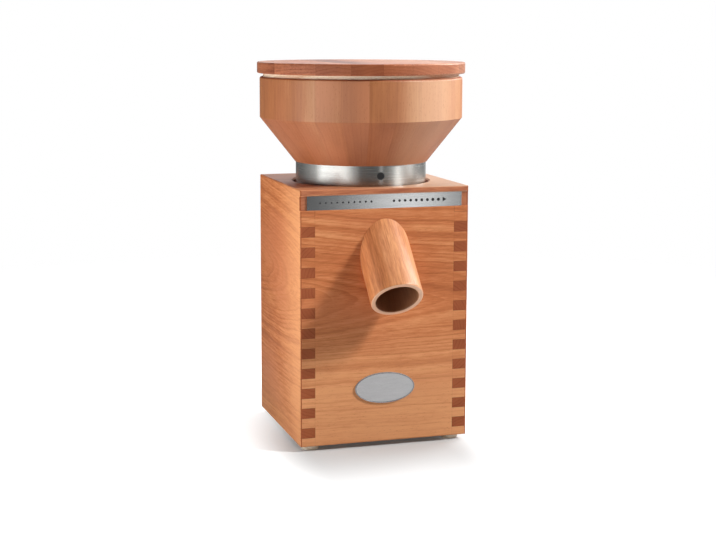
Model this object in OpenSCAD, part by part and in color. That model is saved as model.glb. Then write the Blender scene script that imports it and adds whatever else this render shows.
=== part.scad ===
// Electric grain mill: a finger-jointed beech case with a vertical motor, a stone milling unit
// under the top board, a wooden spout in front and a turned hopper that screws into the mill.
// Millimetres. +Z is up, the front faces -Y, and the origin is on the table under the mill's axis.

/* [Case] */
// Outer width of the case
case_w = 174; // [170:1:200]
// Outer depth of the case
case_d = 166; // [165:1:190]
// Height of the front and rear boards
board_h = 235; // [225:1:260]
// Thickness of the four upright boards
board_t = 15; // [12:0.5:15.5]
// Thickness of the top board
top_t = 20; // [18:0.5:24]
// Rounding of the outer edges of the case
edge_r = 1.5; // [0.5:0.25:3]
// Height of one joint finger
finger_h = 10; // [6:0.5:16]
// Height of the first side finger above the lower edge of the boards
finger_first = 9; // [4:1:16]
// Skin of the side boards that covers the ends of the fingers
joint_skin = 1.5; // [1:0.25:4]
// Thickness of the plywood bottom plate
bottom_t = 8; // [6:0.5:12]
// Width of the rebate that takes the bottom plate
bottom_rebate = 7; // [5:0.5:9]
// Number of air slots in the bottom plate
bottom_slots = 7; // [3:1:9]
// Number of air slots in the rear board
rear_slots = 9; // [4:1:12]
// Width of one air slot
slot_w = 5; // [3:0.5:6]
// Length of one air slot
slot_l = 64; // [30:1:80]

/* [Feet] */
// Diameter of a foot
foot_d = 17.5; // [14:0.5:24]
// Height of a foot
foot_h = 5; // [4:0.5:12]
// Distance of a foot's centre from the outer faces of the case
foot_inset = 13.5; // [12.5:0.5:20]

/* [Scale and badge] */
// Height of the scale plate and of its rebate
scale_h = 14; // [8:0.5:16]
// Bare wood left at each end of the scale plate
scale_end = 7.2; // [2:0.1:20]
// Depth of the rebate in the edge of the top board
scale_rebate = 1.6; // [1.2:0.1:3]
// Chamfer along the two edges of the rebate
scale_arris = 0.8; // [0.3:0.1:1]
// Thickness of the scale plate and of the badge
plate_t = 1; // [0.6:0.1:1.1]
// Width of the oval badge
badge_w = 62; // [40:1:80]
// Height of the oval badge
badge_h = 31; // [20:1:40]
// Height of the badge's centre above the lower edge of the boards
badge_z = 55; // [30:1:90]

/* [Spout] */
// Outer diameter of the spout
spout_d = 52; // [46:1:60]
// Wall of the spout
spout_wall = 5; // [4:0.5:7]
// Length of the spout's axis in front of the case
spout_l = 53.5; // [45:0.5:70]
// Slope of the spout below the horizontal
spout_angle = 45; // [40:1:48]
// Depth of the spout's seat in the front board
spout_seat = 5; // [2:0.5:6]

/* [Hopper] */
// Outer diameter of the bowl
bowl_d = 207.2; // [190:0.2:240]
// Height of the bowl's upright wall
bowl_wall_h = 41; // [30:1:70]
// Height of the bowl's cone
bowl_cone_h = 45; // [38:1:60]
// Thickness of the upright wall
bowl_wall = 10.6; // [8:0.2:16]
// Diameter of the cone's lower end
cone_d = 136; // [135.5:0.5:146]
// Diameter of the throat at the bottom of the bowl
throat_d = 40; // [36:1:46]
// Height of the throat's mouth above the cone's lower end
throat_rise = 7; // [5:0.5:12]
// Rounding of the rim
rim_r = 2; // [1:0.5:4]
// Diameter of the steel collar
collar_d = 134; // [130:0.5:135]
// Height of the collar above the case
collar_h = 20; // [14:1:30]
// Depth of the collar below the top of the case
collar_sink = 4; // [2:0.5:5]
// Sheet thickness of the collar
collar_t = 1; // [0.6:0.1:2]
// Gap between the collar and the hole in the top board
collar_gap = 3; // [2.5:0.25:5]
// Diameter of the index marker
marker_d = 7.5; // [4:0.5:10]

/* [Lid] */
// Diameter of the lid
lid_d = 212.4; // [200:0.2:250]
// Thickness of the lid
lid_t = 11.4; // [8:0.2:18]
// Diameter of the insert's step that lies on the rim
insert_d = 200.4; // [192:0.2:204]
// Height of the insert's step
insert_h = 3.6; // [2:0.2:8]
// Depth of the insert's boss in the bowl
insert_boss = 5; // [3:0.5:10]
// Gap between the boss and the bowl's wall
insert_gap = 1; // [0.5:0.25:3]

/* [Millstones] */
// Diameter of the millstones
stone_d = 85; // [76:1:86]
// Thickness of the upper millstone
upper_stone_t = 16; // [12:0.5:18]
// Thickness of the lower millstone
lower_stone_t = 16; // [12:0.5:18]
// Gap between the millstones at the middle of the scale
stone_gap = 0.5; // [0.3:0.1:0.9]
// Depth of the milling face below the underside of the top board
stone_drop = 8; // [7:0.5:9]
// Diameter of the eye in the upper millstone
stone_eye_d = 26; // [22:1:34]
// Number of furrows in a millstone
furrows = 12; // [6:1:16]
// Width of a furrow
furrow_w = 4; // [2:0.5:5]
// Depth of a furrow
furrow_deep = 1.5; // [0.5:0.25:3]
// Wall between the upper millstone and the thread
holder_wall = 15.5; // [14:0.5:16]

/* [Milling chamber] */
// Wall of the chamber
chamber_wall = 4; // [3:0.25:4.5]
// Thickness of the chamber's floor
floor_t = 5; // [4.5:0.5:8]
// Thickness of the chamber's flange
flange_t = 6; // [5:0.5:7]
// Gap between the flange and the case
flange_gap = 1; // [0.5:0.25:2]
// Wall of the thread ring
ring_wall = 4; // [3:0.25:4.5]
// Radial running clearance of the thread
thread_gap = 0.05; // [0.03:0.01:0.1]
// Height of the chute's window in the chamber wall
chute_h = 20; // [14:1:20]
// Width of the chute
chute_w = 34; // [24:1:36]
// Wall around the chute
chute_wall = 4; // [3:0.5:6]
// Thickness of the stone carrier's disc
carrier_t = 5; // [4.5:0.5:8]
// Diameter of the stone carrier's disc
carrier_d = 96; // [90:1:100]
// Gap below the stone carrier's disc
carrier_gap = 3; // [2:0.5:5]
// Number of wiper vanes
vanes = 4; // [2:1:8]
// Gap between a vane and the chamber's wall
vane_gap = 1.5; // [1:0.25:3]

/* [Motor] */
// Outer diameter of the stator
stator_d = 108; // [104:1:112]
// Length of the stator's core
stator_h = 65; // [50:1:90]
// Share of the stator's diameter that the rotor takes
rotor_share = 0.528; // [0.5:0.002:0.536]
// Air gap between rotor and stator
air_gap = 0.5; // [0.4:0.1:0.8]
// Number of stator slots
stator_slots = 24; // [12:1:30]
// Number of rotor bars
rotor_bars = 22; // [12:1:30]
// Diameter of the shaft in the bearings
shaft_d = 15; // [12:0.5:17]
// Outer diameter of a ball bearing
bearing_d = 32; // [30:0.5:36]
// Width of a ball bearing
bearing_h = 9; // [8:0.5:11]
// Number of balls in a bearing
balls = 9; // [6:1:9]
// Outer diameter of a motor cap
cap_d = 112; // [112:1:118]
// Height of a motor cap
cap_h = 22; // [21:0.5:26]
// Diameter of the cooling fan
fan_d = 92; // [80:1:94]
// Height of the cooling fan's blades
fan_h = 15; // [10:1:18]
// Number of fan blades
fan_blades = 9; // [5:1:12]
// Diameter of the motor capacitor
capacitor_d = 30; // [24:1:32]
// Height of the motor capacitor
capacitor_h = 62; // [50:1:90]

/* [Switch and inlet] */
// Width of the switch's body
switch_w = 22; // [20:0.5:26]
// Height of the switch's body
switch_h = 30; // [29:0.5:34]
// Depth of the switch's body behind the rear face of the case
switch_deep = 22; // [19:0.5:26]
// Height of the switch's centre above the lower edge of the boards
switch_z = 72; // [66:1:90]
// Distance of the switch, the inlet and the terminal block from the right side of the case
electrics_inset = 41; // [37:1:45]
// Tilt of the rocker each way
rocker_tilt = 8; // [5:1:9]
// Diameter of the cord inlet's bore
inlet_d = 7.4; // [6:0.2:9]
// Height of the cord inlet above the lower edge of the boards
inlet_z = 30; // [24:1:36]

/* [Hidden] */
$fn = 96;
eps = 0.01;

// Case
inner_w = case_w - 2 * board_t;
inner_d = case_d - 2 * board_t;
front_y = -case_d / 2;
front_inner_y = -inner_d / 2;
rear_inner_y = inner_d / 2;
case_z = foot_h;
under_z = case_z + board_h;
top_z = under_z + top_t;
finger_count = floor((board_h - finger_first) / (2 * finger_h));
foot_x = case_w / 2 - foot_inset;
foot_y = case_d / 2 - foot_inset;
foot_names = ["foot_front_left", "foot_front_right", "foot_rear_left", "foot_rear_right"];
foot_signs = [[-1, -1], [1, -1], [-1, 1], [1, 1]];
slot_pitch = 2 * slot_w;
vent_top_z = under_z - 50;

// Wood screws of the case: shank radius, head radius, length
screw_r = 1.75;
screw_head_r = 3.5;
screw_l = 20;
foot_screw_r = 2;
foot_screw_head_r = 4;
foot_screw_head_h = 2.2;
foot_screw_sink = 0.8;
foot_screw_l = 18;
foot_edge_r = 1;
bottom_screw_at = 35;

// Milling unit, worked out downwards from the top board
mill_z = under_z - stone_drop;
stone_r = stone_d / 2;
thread_r = stone_r + holder_wall;
ring_inner_r = thread_r + thread_gap;
ring_outer_r = ring_inner_r + ring_wall;
chamber_r = thread_r;
chamber_outer_r = chamber_r + chamber_wall;
neck_outer_r = ring_outer_r + chamber_wall;
lower_stone_z = mill_z - lower_stone_t;
carrier_z = lower_stone_z - carrier_t;
floor_z = carrier_z - carrier_gap;
motor_z = floor_z - floor_t;
flange_z = under_z - flange_t;
ring_above = 10;
ring_top_z = under_z + ring_above;
ring_flange_t = 3;
ring_flange_r = collar_d / 2 + collar_gap - 1;
ring_screw_at = (ring_outer_r + ring_flange_r) / 2;
ring_screw_r = 1.25;
ring_screw_head_r = 2.5;
flange_w = inner_w - 2 * flange_gap;
flange_d = inner_d - 2 * flange_gap;
flange_corner_r = 8;
flange_screw_x = flange_w / 2 - 11;
flange_screw_y = flange_d / 2 - 11;
flange_screw_r = 2.25;
flange_screw_head_r = 4;
flange_screw_head_h = 3;
flange_screw_bite = 14;
eye_r = stone_eye_d / 2;
hub_r = 12;
hub_h = 13;
hub_web = 3;
shaft_top_z = lower_stone_z + hub_h - hub_web;
shaft_r = shaft_d / 2;
seal_r = shaft_r + 5.5;
seal_gap = 0.3;
pin_r = 2;
pin_l = 22;
pin_z = carrier_z + pin_r;
carrier_screw_r = 3;
carrier_screw_head_r = 6;
carrier_screw_head_h = 4.5;
carrier_screw_l = hub_h + lower_stone_z - pin_z - pin_r - 1;
vane_h = 12;
vane_t = 4;
vane_floor_gap = 0.8;

// Spout: its axis passes the middle of the chute's window
window_z = floor_z + chute_h / 2;
spout_z = window_z - (case_d / 2 - chamber_r) * tan(spout_angle);
spout_r = spout_d / 2;
spout_bore_r = spout_r - spout_wall;
mouth_r = 1.5;
spout_back_l = board_t / cos(spout_angle) + spout_r * tan(spout_angle) + 1;

// Hopper
bowl_r = bowl_d / 2;
bowl_inner_r = bowl_r - bowl_wall;
collar_r = collar_d / 2;
spigot_r = collar_r - collar_t;
hole_r = collar_r + collar_gap;
spigot_z = top_z - collar_sink;
cone_z = top_z + collar_h;
bowl_edge_z = cone_z + bowl_cone_h;
rim_z = bowl_edge_z + bowl_wall_h;
throat_r = throat_d / 2;
throat_z = cone_z + throat_rise;
funnel_z = bowl_edge_z + bowl_wall / 2;
guard_wall = 1.5;
guard_flange = 3;
guard_t = 1.5;
guard_bar_w = 3;
guard_bar_h = 6;
upper_stone_z = mill_z + stone_gap;
stone_top_z = upper_stone_z + upper_stone_t;
stone_proud = 1;
holder_z = upper_stone_z + stone_proud;
holder_bore_r = throat_r - guard_wall;
holder_screw_at = (stone_r + thread_r) / 2;
holder_screw_r = 2;
holder_screw_head_r = 4;
holder_screw_head_h = 4;
holder_screw_bite = 12;
holder_seat = 4;
marker_deep = 4;
marker_proud = 0.4;
marker_z = top_z + collar_h / 2;

// Lid
lid_r = lid_d / 2;
lid_z = rim_z + insert_h;
boss_r = bowl_inner_r - insert_gap;

// Motor, worked out downwards from the chamber's floor
stator_r = stator_d / 2;
rotor_r = stator_r * rotor_share;
stator_bore_r = rotor_r + air_gap;
stator_top_z = motor_z - cap_h;
stator_z = stator_top_z - stator_h;
motor_bottom_z = stator_z - cap_h;
cap_r = cap_d / 2;
cap_wall = 4;
cap_plate = 4;
cap_vent_r = 4.5;
bearing_r = bearing_d / 2;
bearing_seat_wall = 4;
bearing_shoulder = 5;
bearing_lip_r = bearing_r - 4;
upper_bearing_z = motor_z - bearing_shoulder - bearing_h;
lower_bearing_z = motor_bottom_z + bearing_shoulder;
race_t = (bearing_r - shaft_r) * 0.3;
ball_track_r = (bearing_r + shaft_r) / 2;
ball_r = (bearing_r - shaft_r) * 0.28;
ball_gap = 0.06;
cage_t = 1.2;
cage_h = 2 * ball_r + 1.2;
cage_gap = 0.1;
shaft_core_r = shaft_r + 1.5;
end_ring_h = 6;
end_ring_r = rotor_r - 1.5;
bar_r = 1.6;
bar_at = end_ring_r - 2.5;
bolt_r = 2;
bolt_gap = 0.2;
bolt_at = stator_r - 4;
bolt_head_r = 3.5;
bolt_head_h = 4;
bolt_boss_r = 4.5;
slot_in_r = stator_bore_r + 2.5;
slot_out_r = bolt_at - bolt_boss_r - 2;
slot_gap_w = 5;
winding_h = 10;
cap_vent_at = (slot_in_r + slot_out_r) / 2;
winding_in_r = slot_in_r;
winding_out_r = slot_out_r;
mount_at = 30;
mount_screw_r = 2.5;
mount_screw_head_r = 4.5;
mount_boss_r = 5;
mount_boss_h = 10;
mount_screw_l = floor_t + mount_boss_h - 1;
fan_gap = 6;
fan_top_z = motor_bottom_z - fan_gap;
fan_plate = 2.5;
fan_hub_r = shaft_r + 5;
fan_blade_t = 2;
shaft_bottom_z = fan_top_z - fan_h - fan_plate;
capacitor_r = capacitor_d / 2;
capacitor_gap = 3;
capacitor_x = -(inner_w / 2 - capacitor_gap - capacitor_r);
capacitor_y = inner_d / 2 - capacitor_gap - capacitor_r;
bottom_top_z = case_z + bottom_t;
clip_t = 1;
clip_h = 12;
clip_z = bottom_top_z + capacitor_h / 2;
clip_tab = 12;
tag_h = 6;

// Switch and inlet
switch_c = case_z + switch_z;
rear_y = case_d / 2;
bezel = 2;
bezel_t = 2;
rocker_r = 13;
rocker_gap = 0.4;
rocker_w = switch_w - 6;
rocker_pin_r = 1.5;
rocker_pin_gap = 0.05;
rocker_pin_l = 1.5;
rocker_sink = 3;
rocker_face = 4.5;
rocker_back = 6;
inlet_c = case_z + inlet_z;
inlet_r = inlet_d / 2;
inlet_wall = 2.3;
inlet_flange = 3;
inlet_flange_t = 2;
lead_r = 1.2;
lead_pitch = 7;
tab_l = 5;
block_w = 4 * lead_pitch;
block_d = 14;
block_h = 16;
electrics_x = case_w / 2 - electrics_inset;
block_x = electrics_x;
block_y = rear_y - switch_deep - tab_l - lead_r;
lead_elbow_r = 1.3;
pole_deep = 3;

beech = "#D49A6A";
beech_dark = "#B8754A";
beech_pale = "#E8C49A";
plywood = "#C9A36B";
steel = "silver";
cast = "#A8AAAD";
zinc = "#B9BDC2";
stone = "#D8D2C4";
black = "#26262A";
copper = "#B4652D";

// ---------------------------------------------------------------- shared forms

// A flat rectangle with round corners, centred on the origin
module round_rectangle(w, h, r) {
    square([w - 2 * r, h], center = true);
    square([w, h - 2 * r], center = true);
    for (x = [-1, 1], y = [-1, 1])
        translate([x * (w / 2 - r), y * (h / 2 - r)]) circle(r);
}

// A straight slot with round ends, lying along X
module slot(l, w) {
    square([l - w, w], center = true);
    for (x = [-1, 1]) translate([x * (l - w) / 2, 0]) circle(w / 2);
}

// A tube between two heights
module tube(r_out, r_in, z0, z1) {
    translate([0, 0, z0]) difference() {
        cylinder(r = r_out, h = z1 - z0);
        translate([0, 0, -eps]) cylinder(r = r_in, h = z1 - z0 + 2 * eps);
    }
}

// A cylinder between two heights
module bar(r, z0, z1) {
    translate([0, 0, z0]) cylinder(r = r, h = z1 - z0);
}

// Copies placed evenly on a circle
module ring_of(count, r, start = 0) {
    for (i = [0:count - 1]) rotate([0, 0, start + i * 360 / count]) translate([r, 0, 0]) children();
}

// A countersunk screw whose head's face is at the origin and whose shank runs up
module countersunk(shank_r, head_r, length) {
    cylinder(r1 = head_r, r2 = shank_r, h = head_r - shank_r);
    cylinder(r = shank_r, h = length);
}

// A pan head screw that runs up from the head's seat at the origin
module pan_screw(shank_r, head_r, head_h, length) {
    translate([0, 0, -head_h]) cylinder(r = head_r, h = head_h);
    cylinder(r = shank_r, h = length);
}

// ---------------------------------------------------------------- case

// The outer form of the case with all its edges rounded
module case_form() {
    case_h = board_h + top_t;
    translate([0, 0, case_z + case_h / 2]) intersection() {
        translate([0, 0, -case_h / 2]) linear_extrude(case_h) round_rectangle(case_w, case_d, edge_r);
        rotate([90, 0, 0]) translate([0, 0, -case_d / 2]) linear_extrude(case_d)
            round_rectangle(case_w, case_h, edge_r);
        rotate([90, 0, 90]) translate([0, 0, -case_w / 2]) linear_extrude(case_w)
            round_rectangle(case_d, case_h, edge_r);
    }
}

// Bands of the joint where the side boards' fingers come through
module finger_bands(w, d) {
    for (i = [0:finger_count - 1])
        translate([-w / 2, -d / 2, case_z + finger_first + 2 * i * finger_h]) cube([w, d, finger_h]);
}

// Room for the bottom plate in the boards' lower edges
module bottom_plate_form() {
    translate([-inner_w / 2 - bottom_rebate, -inner_d / 2 - bottom_rebate, case_z])
        cube([inner_w + 2 * bottom_rebate, inner_d + 2 * bottom_rebate, bottom_t]);
}

module foot_screw_form() {
    for (s = foot_signs) translate([s[0] * foot_x, s[1] * foot_y, foot_screw_sink + foot_screw_head_h])
        pan_screw(foot_screw_r, foot_screw_head_r, foot_screw_head_h, foot_screw_l);
}

module bottom_screw_form() {
    x = inner_w / 2 + bottom_rebate / 2;
    y = inner_d / 2 + bottom_rebate / 2;
    for (s = foot_signs) {
        translate([s[0] * x, s[1] * bottom_screw_at, case_z]) countersunk(screw_r, screw_head_r, screw_l);
        translate([s[0] * bottom_screw_at, s[1] * y, case_z]) countersunk(screw_r, screw_head_r, screw_l);
    }
}

module case_screws() {
    foot_screw_form();
    bottom_screw_form();
}

// The rebate along the front edge of the top board, with a chamfer above and below it
module scale_rebate_form() {
    translate([-case_w, front_y, under_z]) rotate([90, 0, 90]) linear_extrude(2 * case_w) polygon([
        [-eps, -scale_arris - eps], [scale_arris, 0], [scale_rebate, 0],
        [scale_rebate, scale_h], [scale_arris, scale_h], [-eps, scale_h + scale_arris + eps]
    ]);
}

// Places geometry that is drawn along +Z on the spout's axis, from the case's front plane outwards
module on_spout_axis() {
    translate([0, front_y, spout_z]) rotate([90 + spout_angle, 0, 0]) children();
}

// A front or rear board, drawn as the front board
module end_board() {
    difference() {
        intersection() {
            case_form();
            translate([-case_w / 2 + joint_skin, front_y, case_z])
                cube([case_w - 2 * joint_skin, board_t, board_h]);
        }
        difference() {
            finger_bands(case_w, 2 * case_d);
            translate([-inner_w / 2, -case_d, 0]) cube([inner_w, 2 * case_d, 2 * top_z]);
        }
        bottom_plate_form();
    }
}

module front_panel() {
    color(beech) difference() {
        end_board();
        on_spout_axis() translate([0, 0, -spout_back_l]) cylinder(r = spout_bore_r, h = 2 * spout_back_l);
        intersection() {
            on_spout_axis() translate([0, 0, -spout_back_l]) cylinder(r = spout_r, h = 2 * spout_back_l);
            translate([-case_w / 2, front_y - case_d, 0]) cube([case_w, case_d + spout_seat, top_z]);
        }
        scale_rebate_form();
        case_screws();
    }
}

module rear_panel() {
    color(beech) difference() {
        rotate([0, 0, 180]) end_board();
        for (i = [0:rear_slots - 1])
            translate([0, rear_y, vent_top_z - i * slot_pitch]) rotate([90, 0, 0])
                translate([0, 0, -board_t]) linear_extrude(3 * board_t) slot(slot_l, slot_w);
        translate([electrics_x - switch_w / 2, 0, switch_c - switch_h / 2]) cube([switch_w, case_d, switch_h]);
        translate([electrics_x, 0, inlet_c]) rotate([-90, 0, 0]) cylinder(r = inlet_r + inlet_wall, h = case_d);
        case_screws();
    }
}

// A side board, drawn as the left one: its edges carry the sockets and the lap of the top board
module side_board() {
    difference() {
        intersection() {
            case_form();
            translate([-case_w / 2, front_y, case_z]) cube([board_t, case_d, board_h + top_t]);
        }
        translate([-case_w / 2 + joint_skin, -case_d, under_z]) cube([case_w, 2 * case_d, 2 * top_t]);
        difference() {
            for (y = [-case_d, inner_d / 2])
                translate([-case_w / 2 + joint_skin, y, -eps])
                    cube([case_w, case_d - inner_d / 2, under_z + eps]);
            finger_bands(2 * case_w, 3 * case_d);
        }
        bottom_plate_form();
        scale_rebate_form();
        case_screws();
    }
}

module left_panel() {
    color(beech) side_board();
}

module right_panel() {
    color(beech) mirror([1, 0, 0]) side_board();
}

module top_board() {
    color(beech) difference() {
        intersection() {
            case_form();
            translate([-case_w / 2 + joint_skin, front_y, under_z])
                cube([case_w - 2 * joint_skin, case_d, top_t]);
        }
        bar(hole_r, under_z - eps, top_z + eps);
        translate([0, 0, top_z - edge_r]) cylinder(r1 = hole_r, r2 = hole_r + edge_r + eps, h = edge_r + eps);
        scale_rebate_form();
        chamber_screw_form();
    }
}

module bottom_plate() {
    color(plywood) difference() {
        bottom_plate_form();
        for (i = [0:bottom_slots - 1])
            translate([0, (i - (bottom_slots - 1) / 2) * slot_pitch, case_z - eps])
                linear_extrude(bottom_t + 2 * eps) slot(slot_l, slot_w);
        case_screws();
    }
}

module scale_plate() {
    length = case_w - 2 * scale_end;
    color(steel) translate([-length / 2, front_y + scale_rebate - plate_t, under_z])
        cube([length, plate_t, scale_h]);
}

module badge_plate() {
    color(steel) translate([0, front_y, case_z + badge_z]) rotate([90, 0, 0])
        linear_extrude(plate_t) scale([1, badge_h / badge_w]) circle(badge_w / 2);
}

// A turned tube whose slanted end is glued into a seat in the front board
module spout() {
    total_l = spout_back_l + spout_l;
    color(beech_pale) difference() {
        on_spout_axis() translate([0, 0, -spout_back_l]) rotate_extrude() translate([spout_bore_r, 0]) {
            square([spout_wall, total_l - mouth_r]);
            translate([mouth_r, 0]) square([spout_wall - 2 * mouth_r, total_l]);
            for (x = [mouth_r, spout_wall - mouth_r]) translate([x, total_l - mouth_r]) circle(mouth_r);
        }
        translate([-case_w / 2, front_y + spout_seat, 0]) cube([case_w, case_d, 2 * top_z]);
    }
}

module foot(i) {
    s = foot_signs[i];
    color("#E9E4DA") difference() {
        translate([s[0] * foot_x, s[1] * foot_y, 0]) difference() {
            rotate_extrude() {
                translate([0, foot_edge_r]) square([foot_d / 2, foot_h - foot_edge_r]);
                square([foot_d / 2 - foot_edge_r, foot_h]);
                translate([foot_d / 2 - foot_edge_r, foot_edge_r]) circle(foot_edge_r);
            }
            bar(foot_screw_head_r, -eps, foot_screw_sink + eps);
        }
        foot_screw_form();
    }
}

module foot_screws() {
    color(zinc) foot_screw_form();
}

module bottom_screws() {
    color(zinc) bottom_screw_form();
}

// ---------------------------------------------------------------- milling unit, fixed half

module chamber_screw_form() {
    for (s = foot_signs) translate([s[0] * flange_screw_x, s[1] * flange_screw_y, flange_z])
        pan_screw(flange_screw_r, flange_screw_head_r, flange_screw_head_h, flange_t + flange_screw_bite);
}

module ring_screw_form() {
    ring_of(3, ring_screw_at, 30) translate([0, 0, under_z + ring_flange_t]) mirror([0, 0, 1])
        countersunk(ring_screw_r, ring_screw_head_r, ring_flange_t + flange_t - 1);
}

// Screws that hold the motor under the chamber's floor
module motor_screw_form() {
    ring_of(4, mount_at, 0) translate([0, 0, floor_z]) mirror([0, 0, 1])
        countersunk(mount_screw_r, mount_screw_head_r, mount_screw_l);
}

// The sloping passage from the chamber to the spout
module chute_form(w, extra) {
    reach = inner_d / 2 - chamber_r;
    inside = 3;
    slope = tan(spout_angle);
    rotate([90, 0, -90]) translate([0, 0, -w / 2]) linear_extrude(w) polygon([
        [chamber_r - inside, floor_z - extra],
        [chamber_r, floor_z - extra],
        [chamber_r + reach + eps, floor_z - extra - (reach + eps) * slope],
        [chamber_r + reach + eps, floor_z + chute_h + extra - (reach + eps) * slope],
        [chamber_r, floor_z + chute_h + extra],
        [chamber_r - inside, floor_z + chute_h + extra]
    ]);
}

module milling_chamber() {
    boss_w = chute_w + 2 * chute_wall;
    color(cast) difference() {
        union() {
            bar(chamber_outer_r, motor_z, flange_z + eps);
            bar(neck_outer_r, flange_z - flange_t, flange_z + eps);
            translate([0, 0, flange_z]) linear_extrude(flange_t)
                round_rectangle(flange_w, flange_d, flange_corner_r);
            intersection() {
                chute_form(boss_w, chute_wall);
                translate([-boss_w / 2, front_inner_y, 0]) cube([boss_w, case_d / 2, flange_z + eps]);
            }
        }
        bar(chamber_r, floor_z, under_z + eps);
        bar(ring_outer_r, flange_z, under_z + eps);
        bar(seal_r, motor_z - eps, floor_z + eps);
        intersection() {
            chute_form(chute_w, 0);
            translate([-chute_w, -case_d, floor_z - case_d]) cube([2 * chute_w, case_d, case_d * 2]);
        }
        chamber_screw_form();
        ring_screw_form();
        motor_screw_form();
    }
}

module thread_ring() {
    color("#D9C27A") difference() {
        union() {
            bar(ring_outer_r, flange_z, ring_top_z);
            bar(ring_flange_r, under_z, under_z + ring_flange_t);
        }
        bar(ring_inner_r, flange_z - eps, ring_top_z + eps);
        ring_screw_form();
    }
}

module ring_screws() {
    color(zinc) ring_screw_form();
}

module chamber_screws() {
    color(zinc) chamber_screw_form();
}

module shaft_seal() {
    color("#8D8A80") tube(seal_r, shaft_r + seal_gap, motor_z, floor_z);
}

// ---------------------------------------------------------------- motor, fixed half

module motor_bolt_form(gap = 0) {
    ring_of(4, bolt_at, 45) translate([0, 0, motor_bottom_z])
        pan_screw(bolt_r + gap, bolt_head_r, bolt_head_h, motor_z - cap_plate - motor_bottom_z);
}

// A cup with a bearing seat, drawn with its plate up at height 0 and its skirt down
module motor_cap_form(mount_bosses) {
    seat_h = bearing_shoulder + bearing_h + 1;
    difference() {
        union() {
            translate([0, 0, -cap_h]) linear_extrude(cap_h) {
                difference() {
                    circle(cap_r);
                    circle(cap_r - cap_wall);
                }
                ring_of(4, bolt_at, 45) circle(bolt_boss_r);
            }
            bar(cap_r, -cap_plate, 0);
            bar(bearing_r + bearing_seat_wall, -seat_h, 0);
            if (mount_bosses)
                ring_of(4, mount_at, 0) translate([0, 0, -mount_boss_h])
                    cylinder(r = mount_boss_r, h = mount_boss_h);
        }
        bar(bearing_r, -seat_h - eps, -bearing_shoulder);
        bar(bearing_lip_r, -seat_h, eps);
    }
}

module upper_motor_cap() {
    color(cast) difference() {
        translate([0, 0, motor_z]) motor_cap_form(true);
        motor_bolt_form();
        motor_screw_form();
    }
}

module lower_motor_cap() {
    color(cast) difference() {
        translate([0, 0, motor_bottom_z]) mirror([0, 0, 1]) motor_cap_form(false);
        motor_bolt_form(bolt_gap);
        ring_of(12, cap_vent_at) bar(cap_vent_r, motor_bottom_z - eps, motor_bottom_z + cap_plate + eps);
    }
}

// The copper that lies in one slot
module slot_form() {
    translate([slot_in_r, -slot_gap_w / 2, stator_z]) cube([slot_out_r - slot_in_r, slot_gap_w, stator_h]);
}

module stator_core() {
    color("#7C8088") difference() {
        tube(stator_r, stator_bore_r, stator_z, stator_top_z);
        ring_of(stator_slots, 0) slot_form();
        motor_bolt_form(bolt_gap);
    }
}

module stator_windings() {
    color(copper) {
        ring_of(stator_slots, 0) slot_form();
        tube(winding_out_r, winding_in_r, stator_top_z, stator_top_z + winding_h);
        tube(winding_out_r, winding_in_r, stator_z - winding_h, stator_z);
    }
}

module motor_bolts() {
    color(zinc) motor_bolt_form();
}

module motor_screws() {
    color(zinc) motor_screw_form();
}

// Tracks of the balls, as a ring that is cut from both races
module ball_track(z) {
    translate([0, 0, z + bearing_h / 2]) rotate_extrude() translate([ball_track_r, 0]) circle(ball_r + ball_gap);
}

module bearing_outer(z) {
    color(steel) difference() {
        tube(bearing_r, bearing_r - race_t, z, z + bearing_h);
        ball_track(z);
    }
}

module bearing_inner(z) {
    color(steel) difference() {
        tube(shaft_r + race_t, shaft_r, z, z + bearing_h);
        ball_track(z);
    }
}

// The balls of a bearing and the cage that keeps them apart
module ball_set(z) {
    color(zinc) translate([0, 0, z + bearing_h / 2]) {
        ring_of(balls, ball_track_r) sphere(ball_r);
        difference() {
            tube(ball_track_r + cage_t / 2, ball_track_r - cage_t / 2, -cage_h / 2, cage_h / 2);
            ring_of(balls, ball_track_r) rotate([0, 90, 0])
                cylinder(r = ball_r + cage_gap, h = 4 * cage_t, center = true);
        }
    }
}

// ---------------------------------------------------------------- electrics

module capacitor() {
    color("#D7D9DC") translate([capacitor_x, capacitor_y, 0]) {
        bar(capacitor_r, bottom_top_z, bottom_top_z + capacitor_h);
        for (x = [-1, 1]) translate([x * capacitor_r / 2, 0, bottom_top_z + capacitor_h])
            translate([-3, -0.5, 0]) cube([6, 1, tag_h]);
    }
}

// A spring steel band round the capacitor with a tab that is riveted to the rear board
module capacitor_clip() {
    color(zinc) difference() {
        union() {
            translate([capacitor_x, capacitor_y, 0]) bar(capacitor_r + clip_t, clip_z, clip_z + clip_h);
            translate([capacitor_x + capacitor_r - clip_t, rear_inner_y - clip_t, clip_z])
                cube([clip_tab, clip_t, clip_h]);
            translate([capacitor_x + capacitor_r - clip_t, capacitor_y, clip_z])
                cube([2 * clip_t, rear_inner_y - capacitor_y, clip_h]);
        }
        translate([capacitor_x, capacitor_y, 0]) bar(capacitor_r, clip_z - eps, clip_z + clip_h + eps);
    }
}

module terminal_block() {
    color("#EFEFEA") translate([block_x, block_y, bottom_top_z]) difference() {
        translate([-block_w / 2, -block_d / 2, 0]) cube([block_w, block_d, block_h]);
        for (i = [-1.5:1.5]) translate([i * lead_pitch, 0, block_h - pole_deep])
            cylinder(r = lead_r + 0.4, h = pole_deep + eps);
    }
}

// Places geometry at the switch: +Z points out of the rear face and +X points down
module at_switch() {
    translate([electrics_x, rear_y, switch_c]) rotate([-90, 0, 0]) rotate([0, 0, 90]) children();
}

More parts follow.
